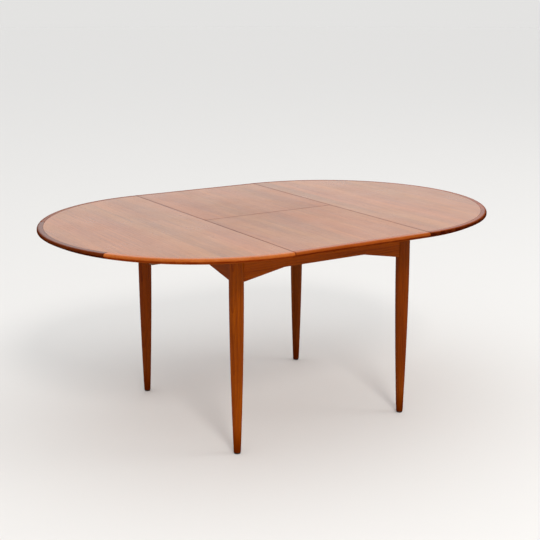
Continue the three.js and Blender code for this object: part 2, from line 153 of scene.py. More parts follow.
def turned(name, profile, origin, direction=UPWARD, sides=64):
    """A turned piece from a profile of (radius, distance), whose first and last radii are capped."""
    turn = Vector(UPWARD).rotation_difference(Vector(direction)).to_matrix()
    loops = []
    for radius, along in profile:
        ring = []
        for i in range(sides):
            angle = 2 * math.pi * i / sides
            local = Vector((radius * math.cos(angle), radius * math.sin(angle), along))
            ring.append(turn @ local + Vector(origin))
        loops.append(ring)
    return lofted(name, loops)


def arc(centre, radius, start, end, steps):
    """Points on an arc, in degrees, both ends included."""
    points = []
    for i in range(steps + 1):
        angle = math.radians(start + (end - start) * i / steps)
        points.append((centre[0] + radius * math.cos(angle), centre[1] + radius * math.sin(angle)))
    return points


def bevel(obj, width, segments=3, angle=30):
    """Eases every arris sharper than the angle."""
    mod = obj.modifiers.new("eased_arrises", "BEVEL")
    mod.width = width
    mod.segments = segments
    mod.limit_method = "ANGLE"
    mod.angle_limit = math.radians(angle)


def grain(obj, origin, along, across):
    """Stores each point's place in the wood: (along the grain, across it, through it), in metres."""
    along = Vector(along).normalized()
    across = Vector(across)
    across = (across - along * across.dot(along)).normalized()
    through = along.cross(across)
    origin = Vector(origin)
    attribute = obj.data.attributes.new("grain", "FLOAT_VECTOR", "POINT")
    values = []
    for vertex in obj.data.vertices:
        p = vertex.co - origin
        values.extend((p.dot(along), p.dot(across), p.dot(through)))
    attribute.data.foreach_set("vector", values)


def mark(obj, name, value_at):
    """Stores a number at each point, worked out from where the point is."""
    attribute = obj.data.attributes.new(name, "FLOAT", "POINT")
    values = [max(0.0, min(1.0, value_at(vertex.co))) for vertex in obj.data.vertices]
    attribute.data.foreach_set("value", values)


def weighted_normals(obj):
    """Keeps large flat faces flat in the shading, next to the narrow faces of a rounded arris."""
    mod = obj.modifiers.new("weighted_normals", "WEIGHTED_NORMAL")
    mod.keep_sharp = True


def cut(obj, cutters):
    """Cuts other objects out of one for good, and removes them."""
    for cutter in cutters:
        mod = obj.modifiers.new("cut", "BOOLEAN")
        mod.operation = "DIFFERENCE"
        mod.solver = "EXACT"
        mod.object = cutter
    graph = bpy.context.evaluated_depsgraph_get()
    graph.update()
    made = bpy.data.meshes.new_from_object(obj.evaluated_get(graph), depsgraph=graph)
    obj.modifiers.clear()
    obj.data = made
    for cutter in cutters:
        bpy.data.objects.remove(cutter)
    shade(obj)


def box_cutter(size, place):
    """A box to cut with, moved by a matrix."""
    bm = bmesh.new()
    bmesh.ops.create_cube(bm, size=1.0, matrix=Matrix.Diagonal(Vector(size)).to_4x4())
    bmesh.ops.transform(bm, matrix=place, verts=bm.verts)
    return new_object("slot_cutter", bm)


def softened(node, width):
    """A copy of a flat-faced CAD node, with its faces merged and its arrises eased."""
    bm = bmesh.new()
    bm.from_mesh(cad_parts[node].data)
    bmesh.ops.remove_doubles(bm, verts=bm.verts, dist=0.01 * MM)
    flat = math.radians(1)
    bmesh.ops.dissolve_limit(bm, angle_limit=flat, verts=bm.verts, edges=bm.edges)
    obj = new_object(node + "_piece", bm)
    bevel(obj, width)
    weighted_normals(obj)
    return obj


# ---------- Material helpers ----------


class Nodes:
    """Builds one material's nodes, with short calls for the kinds used here."""

    def __init__(self, name):
        self.material = bpy.data.materials.new(name)
        self.material.use_nodes = True
        self.tree = self.material.node_tree
        self.shader = self.tree.nodes["Principled BSDF"]

    def add(self, kind, inputs=(), **settings):
        node = self.tree.nodes.new("ShaderNode" + kind)
        for key, value in settings.items():
            setattr(node, key, value)
        for key, value in dict(inputs).items():
            self.set(node.inputs[key], value)
        return node

    def set(self, socket, value):
        if isinstance(value, bpy.types.NodeSocket):
            self.tree.links.new(value, socket)
        else:
            socket.default_value = value

    def math(self, operation, a, b=0.0, c=0.0, clamp=False):
        inputs = {0: a, 1: b, 2: c}
        return self.add("Math", inputs, operation=operation, use_clamp=clamp).outputs[0]

    def vector(self, operation, a, b=(0, 0, 0), c=(0, 0, 0)):
        inputs = {0: a, 1: b, 2: c}
        return self.add("VectorMath", inputs, operation=operation).outputs[0]

    def noise(self, vector, scale=1.0, detail=2.0, roughness=0.5):
        inputs = {"Vector": vector, "Scale": scale, "Detail": detail, "Roughness": roughness}
        return self.add("TexNoise", inputs).outputs[0]

    def stretched(self, vector, scale, detail, roughness=0.5):
        """Noise with its own scale along each direction."""
        return self.noise(self.vector("MULTIPLY", vector, scale), detail=detail, roughness=roughness)

    def attribute(self, kind, name, output="Fac"):
        node = self.add("Attribute", attribute_type=kind, attribute_name=name)
        return node.outputs[output]

    def ramp(self, value, low, high):
        """0 below low, 1 above high."""
        inputs = {"Value": value, "From Min": low, "From Max": high}
        return self.add("MapRange", inputs, clamp=True).outputs[0]

    def mix(self, factor, a, b):
        node = self.add("Mix", {"Factor": factor}, data_type="RGBA")
        self.set(node.inputs[6], a)
        self.set(node.inputs[7], b)
        return node.outputs[2]

    def bump(self, height, distance, strength):
        inputs = {"Height": height, "Distance": distance, "Strength": strength}
        return self.add("Bump", inputs).outputs[0]

    def finish(self, **sockets):
        for key, value in sockets.items():
            self.set(self.shader.inputs[key.replace("_", " ")], value)
        return self.material


def rgba(r, g, b):
    """A colour from 0-255 values as a screen shows them, made linear."""
    return tuple((v / 255) ** 2.2 for v in (r, g, b)) + (1.0,)


# ---------- Materials ----------


# How fast each feature of the wood varies, in cycles a metre: along the grain, across it, through it.
BANDS_SCALE = (1.3, 14, 14)
WARP_SCALE = (1.6, 5, 5)
FINE_WARP_SCALE = (7, 40, 40)
LATE_WOOD_SCALE = (1.5, 25, 25)
STREAK_SCALE = (3, 160, 160)
FIBRE_SCALE = (12, 600, 600)
PORE_SCALE = (50, 1400, 1400)
SUN_SCALE = (0.9, 5, 5)
BLOTCH_SCALE = (25, 70, 70)

WARP_DEPTH = 0.055  # metres that the rings wander
FINE_WARP_DEPTH = 0.0035
STREAK_WEIGHT = 1.1
FIBRE_WEIGHT = 0.75
SUN_TINT = (0.94, 1.11, 1.2)  # where light has turned the wood less red
COAT_ROUGHNESS = 0.16
BACKING_LIGHT = (168, 112, 66)
BACKING_DARK = (132, 82, 44)


def wood(name, light, dark, ring, pith, coat, roughness, line=0.4, bands=0.6, flitch=0.0, specular=0.5):
    """Straight-grained wood: growth rings about a far pith, slow bands of tone, fibres and pores.

    light and dark are 0-255 screen colours. ring is the rings' spacing, pith the place of the log's
    heart and flitch the width of a leaf of veneer, in metres. line and bands are how strongly the
    rings and the bands show.

    Point attributes: "grain" is the place in the wood; the darkening attribute is old polish in seams
    and joints, scuffs at the feet, and painted shade down a lipping's rounding and undercut; "rub" is
    where hands wear the finish, and "bare" is the plain, unpolished back.
    """
    light = rgba(*light)
    dark = rgba(*dark)
    n = Nodes(name)
    place = n.attribute("GEOMETRY", "grain", "Vector")
    dirt_and_shade = n.attribute("GEOMETRY", "dirt_and_shade")
    rub = n.attribute("GEOMETRY", "rub")
    bare = n.attribute("GEOMETRY", "bare")
    shift = n.attribute("OBJECT", "shift")
    tone = n.attribute("OBJECT", "tone")

    own = n.math("MULTIPLY", shift, 3.1)
    if flitch:
        # Leaves of veneer side by side, each cut from another length of the same log.
        across = n.add("SeparateXYZ", {0: place}).outputs["Y"]
        count = n.math("FLOOR", n.math("DIVIDE", n.math("ADD", across, flitch * 0.37), flitch))
        own = n.math("MULTIPLY_ADD", count, 0.83, own)
        leaf = n.add("TexWhiteNoise", {"W": count}, noise_dimensions="1D").outputs[0]
        tone = n.math("MULTIPLY", tone, n.math("MULTIPLY_ADD", leaf, 0.10, 0.95))
    moved = n.vector("ADD", place, n.add("CombineXYZ", {0: own}).outputs[0])

    broad = n.stretched(moved, BANDS_SCALE, detail=3)
    warp = n.stretched(moved, WARP_SCALE, detail=2)
    fine_warp = n.stretched(moved, FINE_WARP_SCALE, detail=1)
    from_pith = n.vector("MULTIPLY_ADD", moved, (0, 1, 1), (0, pith[0], pith[1]))
    radius = n.add("VectorMath", {0: from_pith}, operation="LENGTH").outputs["Value"]
    bent = n.math("MULTIPLY_ADD", warp, WARP_DEPTH, radius)
    bent = n.math("MULTIPLY_ADD", fine_warp, FINE_WARP_DEPTH, bent)
    rings = n.math("FRACT", n.math("DIVIDE", bent, ring))
    late = n.math("POWER", rings, 3.0)
    strength = n.stretched(moved, LATE_WOOD_SCALE, detail=1)
    late = n.math("MULTIPLY", late, n.ramp(strength, 0.3, 0.7))
    fibre = n.stretched(moved, FIBRE_SCALE, detail=3)
    streak = n.stretched(moved, STREAK_SCALE, detail=2)
    pores = n.ramp(n.stretched(moved, PORE_SCALE, detail=1), 0.6, 0.7)

    figure = n.math("MULTIPLY", n.ramp(broad, 0.25, 0.75), bands)
    figure = n.math("MULTIPLY_ADD", late, line, figure)
    figure = n.math("MULTIPLY_ADD", n.math("SUBTRACT", fibre, 0.5), FIBRE_WEIGHT, figure)
    streaks = n.math("SUBTRACT", streak, 0.5)
    figure = n.math("MULTIPLY_ADD", streaks, STREAK_WEIGHT, figure, clamp=True)
    colour = n.mix(figure, light, dark)
    deep = tuple(v * 0.4 for v in dark[:3]) + (1.0,)
    colour = n.mix(n.math("MULTIPLY", pores, 0.45), colour, deep)
    sun = n.ramp(n.stretched(moved, SUN_SCALE, detail=3), 0.38, 0.62)
    colour = n.mix(sun, colour, n.vector("MULTIPLY", colour, SUN_TINT))
    colour = n.vector("MULTIPLY", colour, tone)

    smudge = n.ramp(n.noise(place, scale=6, detail=5, roughness=0.6), 0.35, 0.7)
    rough = n.math("MULTIPLY_ADD", smudge, 0.06, roughness)
    rough = n.math("MULTIPLY_ADD", pores, 0.12, rough)

    # Wear: the finish is paler and duller where hands rub it.
    patches = n.ramp(n.noise(place, scale=60, detail=5, roughness=0.7), 0.42, 0.72)
    worn = n.math("MULTIPLY", rub, patches)
    pale = tuple(min(1.0, v * 1.35 + 0.015) for v in light[:3]) + (1.0,)
    colour = n.mix(n.math("MULTIPLY", worn, 0.4), colour, pale)
    rough = n.math("MULTIPLY_ADD", worn, 0.2, rough)

    # Soiling and painted shade: dark, dull and in blotches. Down a lipping's rounding and undercut it is
    # painted shade; at seams, joints and feet it is old polish and scuffs.
    blotch = n.stretched(place, BLOTCH_SCALE, detail=4, roughness=0.65)
    soiled_and_shaded = n.math("MULTIPLY", dirt_and_shade, n.math("MULTIPLY_ADD", blotch, 1.0, 0.5), clamp=True)
    grime_and_shade = (dark[0] * 0.4, dark[1] * 0.2, dark[2] * 0.1, 1.0)
    colour = n.mix(soiled_and_shaded, colour, grime_and_shade)
    rough = n.math("MULTIPLY_ADD", soiled_and_shaded, 0.3, rough)

    backing = n.mix(figure, rgba(*BACKING_LIGHT), rgba(*BACKING_DARK))
    colour = n.mix(bare, colour, backing)
    rough = n.math("MAXIMUM", rough, n.math("MULTIPLY", bare, 0.6))

    height = n.math("MULTIPLY_ADD", pores, -0.8, n.math("MULTIPLY", fibre, 0.4))
    normal = n.bump(height, 0.05 * MM, 0.5)
    n.set(n.shader.inputs["IOR"], 1.5)
    n.set(n.shader.inputs["Specular IOR Level"], specular)
    n.set(n.shader.inputs["Coat Roughness"], COAT_ROUGHNESS)
    if coat:
        lost = n.math("MAXIMUM", n.math("MULTIPLY", soiled_and_shaded, 2.5), bare)
        covered = n.math("SUBTRACT", 1.0, lost, clamp=True)
        n.set(n.shader.inputs["Coat Weight"], n.math("MULTIPLY", covered, coat))
    return n.finish(Base_Color=colour, Roughness=rough, Normal=normal)


def brushed_metal(name, base, tarnish, roughness):
    """Turned metal with fine tool marks and some tarnish."""
    n = Nodes(name)
    place = n.add("TexCoord").outputs["Object"]
    spots = n.ramp(n.noise(place, scale=260, detail=4, roughness=0.65), 0.45, 0.75)
    marks = n.noise(n.vector("MULTIPLY", place, (400, 400, 6000)), detail=2)
    colour = n.mix(n.math("MULTIPLY", spots, 0.6), base, tarnish)
    rough = n.math("MULTIPLY_ADD", spots, 0.25, roughness)
    normal = n.bump(marks, 0.02 * MM, 0.4)
    n.set(n.shader.inputs["Metallic"], 1.0)
    return n.finish(Base_Color=colour, Roughness=rough, Normal=normal)


def moulded_plastic(name, base):
    """Dark plastic with a fine moulded grain, scratched where it slides on the floor."""
    n = Nodes(name)
    place = n.add("TexCoord").outputs["Object"]
    pebble = n.noise(place, scale=1800, detail=2)
    dirt_and_shade = n.ramp(n.noise(place, scale=220, detail=4, roughness=0.7), 0.5, 0.75)
    dusty = tuple(v * 2.5 + 0.03 for v in base[:3]) + (1.0,)
    colour = n.mix(n.math("MULTIPLY", dirt_and_shade, 0.5), base, dusty)
    rough = n.math("MULTIPLY_ADD", pebble, 0.2, 0.45)
    return n.finish(Base_Color=colour, Roughness=rough, Normal=n.bump(pebble, 0.03 * MM, 0.5))


EDGE_WOOD = {"ring": 0.005, "pith": (0.9, 0.5), "coat": 1.0, "specular": 0.0}
FRAME_WOOD = {"pith": (0.3, 0.2), "line": 0.5}
WOODS = {
    "teak_top": {
        "light": (184, 108, 51),
        "dark": (128, 64, 25),
        "ring": 0.011,
        "pith": (1.9, 0.9),
        "coat": 0.3,
        "roughness": 0.27,
        "flitch": 0.21,
    },
    "teak_edge_light": {"light": (196, 108, 46), "dark": (166, 76, 26), "roughness": 0.3, **EDGE_WOOD},
    "teak_edge": {"light": (174, 90, 38), "dark": (134, 58, 18), "roughness": 0.3, **EDGE_WOOD},
    "teak_edge_dark": {"light": (122, 58, 26), "dark": (82, 32, 12), "roughness": 0.32, **EDGE_WOOD},
    "teak_frame": {
        "light": (146, 66, 5),
        "dark": (100, 36, 2),
        "ring": 0.006,
        "coat": 0.1,
        "roughness": 0.36,
        "specular": 0.0,
        **FRAME_WOOD,
    },
    "frame_hardwood": {
        "light": (150, 92, 46),
        "dark": (108, 60, 26),
        "ring": 0.005,
        "coat": 0.0,
        "roughness": 0.5,
        "bands": 0.5,
        "specular": 0.3,
        **FRAME_WOOD,
    },
}
MATERIALS = {name: wood(name, **look) for name, look in WOODS.items()}
MATERIALS["brass"] = brushed_metal("brass", rgba(205, 170, 95), rgba(140, 105, 50), 0.3)
MATERIALS["steel"] = brushed_metal("steel", rgba(190, 190, 186), rgba(120, 116, 108), 0.32)
MATERIALS["glide_plastic"] = moulded_plastic("glide_plastic", rgba(40, 33, 28))


def place_piece(obj, body, node, slot, shift=0.0, tone=1.0):
    """Puts a detailed piece in the place of its CAD node, with its material.

    The shift is which length of the log it was cut from, and the tone multiplies its colour.
    """
    obj["shift"] = float(shift)
    obj["tone"] = float(tone)
    obj.data.materials.clear()
    obj.data.materials.append(MATERIALS[slot])
    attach(obj, body)
    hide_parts(node)


# ---------- Panels of the top ----------


def rounding(width, steps=4):
    """(depth, inset) pairs down a quarter-round arris, from the face to the side."""
    pairs = []
    for i in range(steps + 1):
        angle = math.pi / 2 * i / steps
        pairs.append((width * (1 - math.cos(angle)), width * (1 - math.sin(angle))))
    return pairs


def panel_levels():
    """(height, share of the rounding, extra inset) from the underside to the middle of the top."""
    eased = rounding(1.0)
    levels = [(UNDERSIDE_Z + depth * SEAM_EASE, share, 0.0) for depth, share in eased]
    levels.append((TOP_Z - SOILED_DEPTH, 0.0, 0.0))
    levels += [(TOP_Z - depth * SEAM_EASE, share, 0.0) for depth, share in reversed(eased)]
    levels.append((TOP_Z, 1.0, SOILED_WIDTH))
    return levels


def mark_panel(obj, seam_distance):
    """Old polish fills the mouth of the seams, and the back of the panel is bare."""

    def dirt_and_shade(p):
        at_seam = 1 - (seam_distance(p) - SEAM_EASE) / SOILED_WIDTH
        return at_seam if p.z > TOP_Z - SOILED_DEPTH / 2 else min(at_seam, 0.25)

    mark(obj, "dirt_and_shade", dirt_and_shade)
    mark(obj, "bare", lambda p: float(p.z < UNDERSIDE_Z + SEAM_EASE * 0.5))


def half_panel_ring(side, seam_inset, rim_inset, z, steps=120):
    """Plan outline of a half-round panel: its arc, whose two ends lie on the seam."""
    radius = PANEL_RADIUS - rim_inset
    ring = []
    for i in range(steps + 1):
        angle = math.radians(-90 + 180 * i / steps)
        out = max(radius * math.cos(angle), seam_inset)
        ring.append((side * (SEAM_X + out), radius * math.sin(angle), z))
    return ring


def make_half_panel(word):
    """The veneered half-round panel of one half-top, its grain across the table."""
    side = SIDES[word]
    loops = []
    for z, share, extra in panel_levels():
        seam_inset = SEAM_CLEARANCE + share * SEAM_EASE + extra
        loops.append(half_panel_ring(side, seam_inset, share * HAIRLINE + extra * 0.1, z))
    node = "top_panel_" + word
    obj = lofted(node + "_veneered", loops)
    weighted_normals(obj)
    grain(obj, (0, 0, TOP_Z), ALONG_Y, ALONG_X)
    mark_panel(obj, lambda p: abs(p.x) - SEAM_X - SEAM_CLEARANCE)
    place_piece(obj, word + "_top", node, "teak_top", shift=0.4 * side)


def rectangle_ring(x, y_from, y_to, z):
    """Plan outline of a leaf panel."""
    return [(-x, y_from, z), (x, y_from, z), (x, y_to, z), (-x, y_to, z)]


def make_leaf_panel(word):
    """Half of the folding leaf, bored along its seam for the hinge barrels."""
    row = ROWS[word]
    half_width = LEAF_HALF_WIDTH - SEAM_CLEARANCE
    loops = []
    for z, share, extra in panel_levels():
        seam_y = row * (LEAF_SEAM_Y + share * SEAM_EASE * FOLD_SEAM_SHARE + extra)
        rim_y = row * (PANEL_RADIUS - share * HAIRLINE - extra * 0.1)
        loops.append(rectangle_ring(half_width - share * SEAM_EASE - extra, seam_y, rim_y, z))
    node = "leaf_panel_" + word
    obj = lofted(node + "_veneered", loops)
    bores = []
    for number in (1, 2, 3):
        lo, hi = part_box(f"hinge_barrel_{word}_{number}")
        centre = (lo + hi) / 2
        radius = (hi.x - lo.x) / 2 + BORE_CLEARANCE
        depth = hi.y - lo.y + 2 * BORE_OVERCUT
        start = (centre.x, row * (LEAF_SEAM_Y - BORE_OVERCUT), centre.z)
        bores.append(turned(f"bore_{number}", [(radius, 0), (radius, depth)], start, (0, row, 0)))
    cut(obj, bores)
    weighted_normals(obj)
    grain(obj, (0, 0, TOP_Z), ALONG_Y, ALONG_X)
    mark_panel(obj, lambda p: min(half_width - abs(p.x), abs(p.y) - LEAF_SEAM_Y + 0.3 * MM))
    place_piece(obj, "leaf_" + word, node, "teak_top", shift=0.9 + 0.5 * row)


for word in SIDES:
    make_half_panel(word)
for word in ROWS:
    make_leaf_panel(word)

# ---------- Lippings ----------

ARC_SPACING = 9 * MM  # between a lipping's sections
STRAIGHT_SPACING = 60 * MM
JOINT_DIRT = 0.7  # where a lipping meets its panel
END_DIRT = 0.9  # where it meets the next one
FLAT_TOP_SHARE = 0.15  # of the rounding's painted shade and soiling, on the flat top
RUB_MIDDLE = 0.7 * LIPPING_WIDTH
RUB_REACH = 0.4 * LIPPING_WIDTH


def lipping_section():
    """Section of the edge as (distance outward, height): undercut below, rounded above."""
    rise = RIM_BOTTOM_Z - UNDERCUT_STANDOFF - UNDERSIDE_Z
    slope = math.degrees(math.atan2(rise, LIPPING_WIDTH - UNDERCUT_STANDOFF))
    section = [(0, UNDERSIDE_Z), (LIPPING_WIDTH * 0.5, UNDERSIDE_Z + rise * 0.5)]
    nose = (LIPPING_WIDTH - NOSE_RADIUS, RIM_BOTTOM_Z + NOSE_LIFT)
    section += arc(nose, NOSE_RADIUS, slope - 90, 0, 5)
    section += arc((LIPPING_WIDTH - EDGE_ROUND, RIM_TOP_Z), EDGE_ROUND, 0, 90, 12)
    # A line of points just inside the rounding keeps its painted shade and soiling off the flat top.
    section.append((LIPPING_WIDTH - EDGE_ROUND - SOIL_AND_SHADE_FADE, TOP_Z))
    section += [(HAIRLINE * 3, TOP_Z), (0, TOP_Z - HAIRLINE)]
    return section


def inset_outline(points, distance):
    """Moves a closed counter-clockwise outline inward."""
    if distance < 1e-7:
        return list(points)
    moved = []
    count = len(points)
    for i, point in enumerate(points):
        before = Vector(points[i - 1])
        here = Vector(point)
        after = Vector(points[(i + 1) % count])
        a = (here - before).normalized()
        b = (after - here).normalized()
        normal = Vector((-(a.y + b.y), a.x + b.x))
        normal.normalize()
        spread = max(0.5, normal.dot(Vector((-a.y, a.x))))
        moved.append(tuple(here + normal * (distance / spread)))
    return moved


def eased_stations(length, ease_start, ease_end, spacing):
    """(distance, inset) along a piece whose two ends are rounded off and soiled."""
    stations = rounding(ease_start)
    start = ease_start + SOILED_WIDTH
    plain = length - ease_end - SOILED_WIDTH - start
    middle = max(1, round(plain / spacing))
    for i in range(middle + 1):
        stations.append((start + plain * i / middle, 0.0))
    stations += [(length - depth, inset) for depth, inset in reversed(rounding(ease_end))]
    return stations


def mark_lipping(obj, outward, from_end, soil_and_shade):
    """Painted shade darkens the lipping down its rounding, upright band and undercut; old polish darkens
    it at its ends and its joint with the panel; hands rub its upper rounding.
    """

    def dirt_and_shade(p):
        # Painted shade: darker down the rounding, the upright band and the undercut, scaled by each
        # segment's value; the joint and the ends are old polish.
        if p.z < RIM_BOTTOM_Z:
            rim = 1 - 0.5 * (RIM_BOTTOM_Z - p.z) / (RIM_BOTTOM_Z - UNDERSIDE_Z)
        elif p.z < RIM_TOP_Z:
            rim = soil_and_shade + (1 - soil_and_shade) * min(1.0, 1.5 * (RIM_TOP_Z - p.z) / EDGE_FLAT)
        elif outward(p) > LIPPING_WIDTH - EDGE_ROUND - 0.1 * MM:
            rim = soil_and_shade * min(1.0, 0.3 + 1.6 * (TOP_Z - p.z) / EDGE_ROUND)
        else:
            rim = soil_and_shade * FLAT_TOP_SHARE
        joint = JOINT_DIRT if outward(p) < 0.2 * MM else 0.0
        return max(joint, rim, END_DIRT * (1 - from_end(p) / SOILED_WIDTH))

    def rub(p):
        return 1 - abs(outward(p) - RUB_MIDDLE) / RUB_REACH if p.z > RIM_TOP_Z else 0

    mark(obj, "dirt_and_shade", dirt_and_shade)
    mark(obj, "rub", rub)


def make_arc_lipping(side_word, place, from_angle, to_angle, eases, slot, tone, soil_and_shade):
    """One segment of the band round a half-top, its angles measured from the table's end to its back."""
    side = SIDES[side_word]
    section = lipping_section()
    start = math.radians(from_angle)
    length = math.radians(to_angle - from_angle) * TOP_RADIUS
    loops = []
    for distance, inset in eased_stations(length, eases[0], eases[1], ARC_SPACING):
        angle = start + distance / TOP_RADIUS
        ring = []
        for out, z in inset_outline(section, inset):
            radius = LIPPING_INNER + out
            ring.append((side * (SEAM_X + radius * math.cos(angle)), radius * math.sin(angle), z))
        loops.append(ring)
    node = f"lipping_{side_word}_{place}"
    obj = lofted(node + "_band", loops)
    weighted_normals(obj)
    middle = math.radians((from_angle + to_angle) / 2)
    across = (side * math.cos(middle), math.sin(middle), 0)
    along = (-side * math.sin(middle), math.cos(middle), 0)
    grain(obj, (side * SEAM_X, 0, TOP_Z), along, across)
    centre = Vector((side * SEAM_X, 0))

    def from_end(p):
        distance = (math.atan2(p.y, side * p.x - SEAM_X) - start) * TOP_RADIUS
        return min(distance - eases[0], length - distance - eases[1])

    mark_lipping(obj, lambda p: (p.xy - centre).length - LIPPING_INNER, from_end, soil_and_shade)
    shift = 0.31 * from_angle / 30 + side
    place_piece(obj, side_word + "_top", node, slot, shift=shift, tone=tone)


def make_leaf_lipping(word, slot, tone, soil_and_shade):
    """The straight band on the leaf's outer edge."""
    row = ROWS[word]
    loops = []
    section = lipping_section()
    for distance, inset in eased_stations(2 * LEAF_HALF_WIDTH, SEAM_EASE, SEAM_EASE, STRAIGHT_SPACING):
        x = distance - LEAF_HALF_WIDTH
        ring = [(x, row * (LIPPING_INNER + out), z) for out, z in inset_outline(section, inset)]
        loops.append(ring)
    node = "leaf_lipping_" + word
    obj = lofted(node + "_band", loops)
    weighted_normals(obj)
    grain(obj, (0, 0, TOP_Z), ALONG_X, ALONG_Y)
    plain_x = LEAF_HALF_WIDTH - SEAM_EASE
    mark_lipping(obj, lambda p: abs(p.y) - LIPPING_INNER, lambda p: plain_x - abs(p.x), soil_and_shade)
    place_piece(obj, "leaf_" + word, node, slot, shift=0.7 * row, tone=tone)


# Each segment's first and last angle in degrees, and how far each of its ends is eased.
INNER_ANGLE = SEGMENT_ANGLE - JOINT_GAP_ANGLE
OUTER_ANGLE = SEGMENT_ANGLE + JOINT_GAP_ANGLE
SEGMENTS = {
    "front": (-90, -OUTER_ANGLE, (SEAM_EASE, JOINT_EASE)),
    "end": (-INNER_ANGLE, INNER_ANGLE, (JOINT_EASE, JOINT_EASE)),
    "back": (OUTER_ANGLE, 90, (JOINT_EASE, SEAM_EASE)),
}
# Each segment's material, tone, and how dark its rounding and upright band are painted, as soiling and
# painted shade. The back segments' low tone and high value are painted shade on the table's far rim.
SEGMENT_LOOKS_AND_SHADE = {
    ("left", "front"): ("teak_edge_light", 1.0, 0.35),
    ("left", "end"): ("teak_edge_dark", 1.0, 0.6),
    ("left", "back"): ("teak_edge", 0.62, 1.3),
    ("right", "front"): ("teak_edge_dark", 2.2, 0.9),
    ("right", "end"): ("teak_edge_dark", 2.1, 1.0),
    ("right", "back"): ("teak_edge", 0.66, 1.3),
}
for word in SIDES:
    for place, (low, high, eases) in SEGMENTS.items():
        make_arc_lipping(word, place, low, high, eases, *SEGMENT_LOOKS_AND_SHADE[word, place])
# The leaf lippings' tone and painted shade; the back one's low tone and high value are painted shade on
# the far rim.
make_leaf_lipping("front", "teak_edge", 1.2, 0.5)
make_leaf_lipping("back", "teak_edge", 0.66, 1.3)

# ---------- Legs and glides ----------

LEG_PROFILE_STEPS = 60
LEG_TOP_EASE = 0.5 * MM
FOOT_RADIUS = 12 * MM
FOOT_EASE = 1.2 * MM
TAPER_START = 590 * MM  # height where the leg starts to thin
TAPER_POWER = 1.8
FOOT_SCUFF_HEIGHT = 90 * MM
FOOT_SCUFF = 0.75
GLIDE_HEIGHT = 4 * MM
GLIDE_ROUND = 1.2 * MM
GLIDE_EASE = 0.3 * MM
GLIDE_NAIL_RADIUS = 2 * MM
GLIDE_NAIL_POINT = 2 * MM  # length of the nail's point
# Painted shade: the front-right and back legs, in the top's shade and further from the light, are darker
# than the front-left.
LEG_PAINTED_SHADE = {"front_left": 1.0, "front_right": 0.74, "back_left": 0.76, "back_right": 0.64}


def make_leg(word):
    """A round leg that thins downward in a long curve, scuffed near its foot."""
    node = "leg_" + word
    lo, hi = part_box(node)
    centre = (lo + hi) / 2
    top_radius = (hi.x - lo.x) / 2
    foot_z = lo.z + FOOT_EASE
    profile = [(FOOT_RADIUS - inset, lo.z + depth) for depth, inset in rounding(FOOT_EASE)]
    for i in range(1, LEG_PROFILE_STEPS + 1):
        z = foot_z + (TAPER_START - foot_z) * i / LEG_PROFILE_STEPS
        thinning = (top_radius - FOOT_RADIUS) * max(0.0, 1 - z / TAPER_START) ** TAPER_POWER
        profile.append((top_radius - thinning, z))
    profile += [(top_radius, hi.z - LEG_TOP_EASE), (top_radius - LEG_TOP_EASE, hi.z)]
    obj = turned(node + "_turned", profile, (centre.x, centre.y, 0), sides=96)
    weighted_normals(obj)
    grain(obj, (centre.x, centre.y, 0), UPWARD, ALONG_X)
    mark(obj, "dirt_and_shade", lambda p: FOOT_SCUFF * (1 - p.z / FOOT_SCUFF_HEIGHT))
    shift = centre.x * 3 + centre.y * 5
    place_piece(obj, "frame", node, "teak_frame", shift=shift, tone=LEG_PAINTED_SHADE[word])


def make_glide(word):
    """A disc under the foot, and the nail that holds it."""
    node = "glide_" + word
    lo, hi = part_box(node)
    centre = (lo + hi) / 2
    radius = (hi.x - lo.x) / 2
    profile = [(radius - 2 * MM, 0)]
    profile += arc((radius - GLIDE_ROUND, GLIDE_ROUND), GLIDE_ROUND, -90, 0, 5)
    profile += [(radius, GLIDE_HEIGHT - GLIDE_EASE), (radius - GLIDE_EASE, GLIDE_HEIGHT)]
    profile += [(GLIDE_NAIL_RADIUS, GLIDE_HEIGHT), (GLIDE_NAIL_RADIUS, hi.z - GLIDE_NAIL_POINT)]
    profile.append((GLIDE_EASE, hi.z))
    obj = turned(node + "_disc", profile, (centre.x, centre.y, 0), sides=48)
    weighted_normals(obj)
    place_piece(obj, "frame", node, "glide_plastic")


CORNERS = [f"{row}_{side}" for side in SIDES for row in ROWS]
for word in CORNERS:
    make_leg(word)
    make_glide(word)

# ---------- Flat-faced pieces ----------


def make_softened(node, body, slot, width, along, tone=1.0):
    """A piece in the CAD's own shape, with eased arrises and its grain along one direction."""
    obj = softened(node, width)
    centre = middle_of(node)
    grain(obj, centre, along, UPWARD)
    shift = centre.x * 2.3 + centre.y * 1.9 + centre.z
    place_piece(obj, body, node, slot, shift=shift, tone=tone)


APRON_EASE = 1.3 * MM
BEARER_EASE = 0.8 * MM
BLOCK_EASE = 0.8 * MM
RUNNER_EASE = 0.6 * MM
RAIL_EASE = 0.5 * MM
# Painted light and shade: the long aprons are made lighter and the end aprons darker, as lit and shaded
# sides of one wood.
LONG_APRON_PAINTED_LIGHT = 1.12
END_APRON_PAINTED_SHADE = 0.85
# Painted shade: the runners are darker for the shade they stand in under the top.
RUNNER_PAINTED_SHADE = 0.6

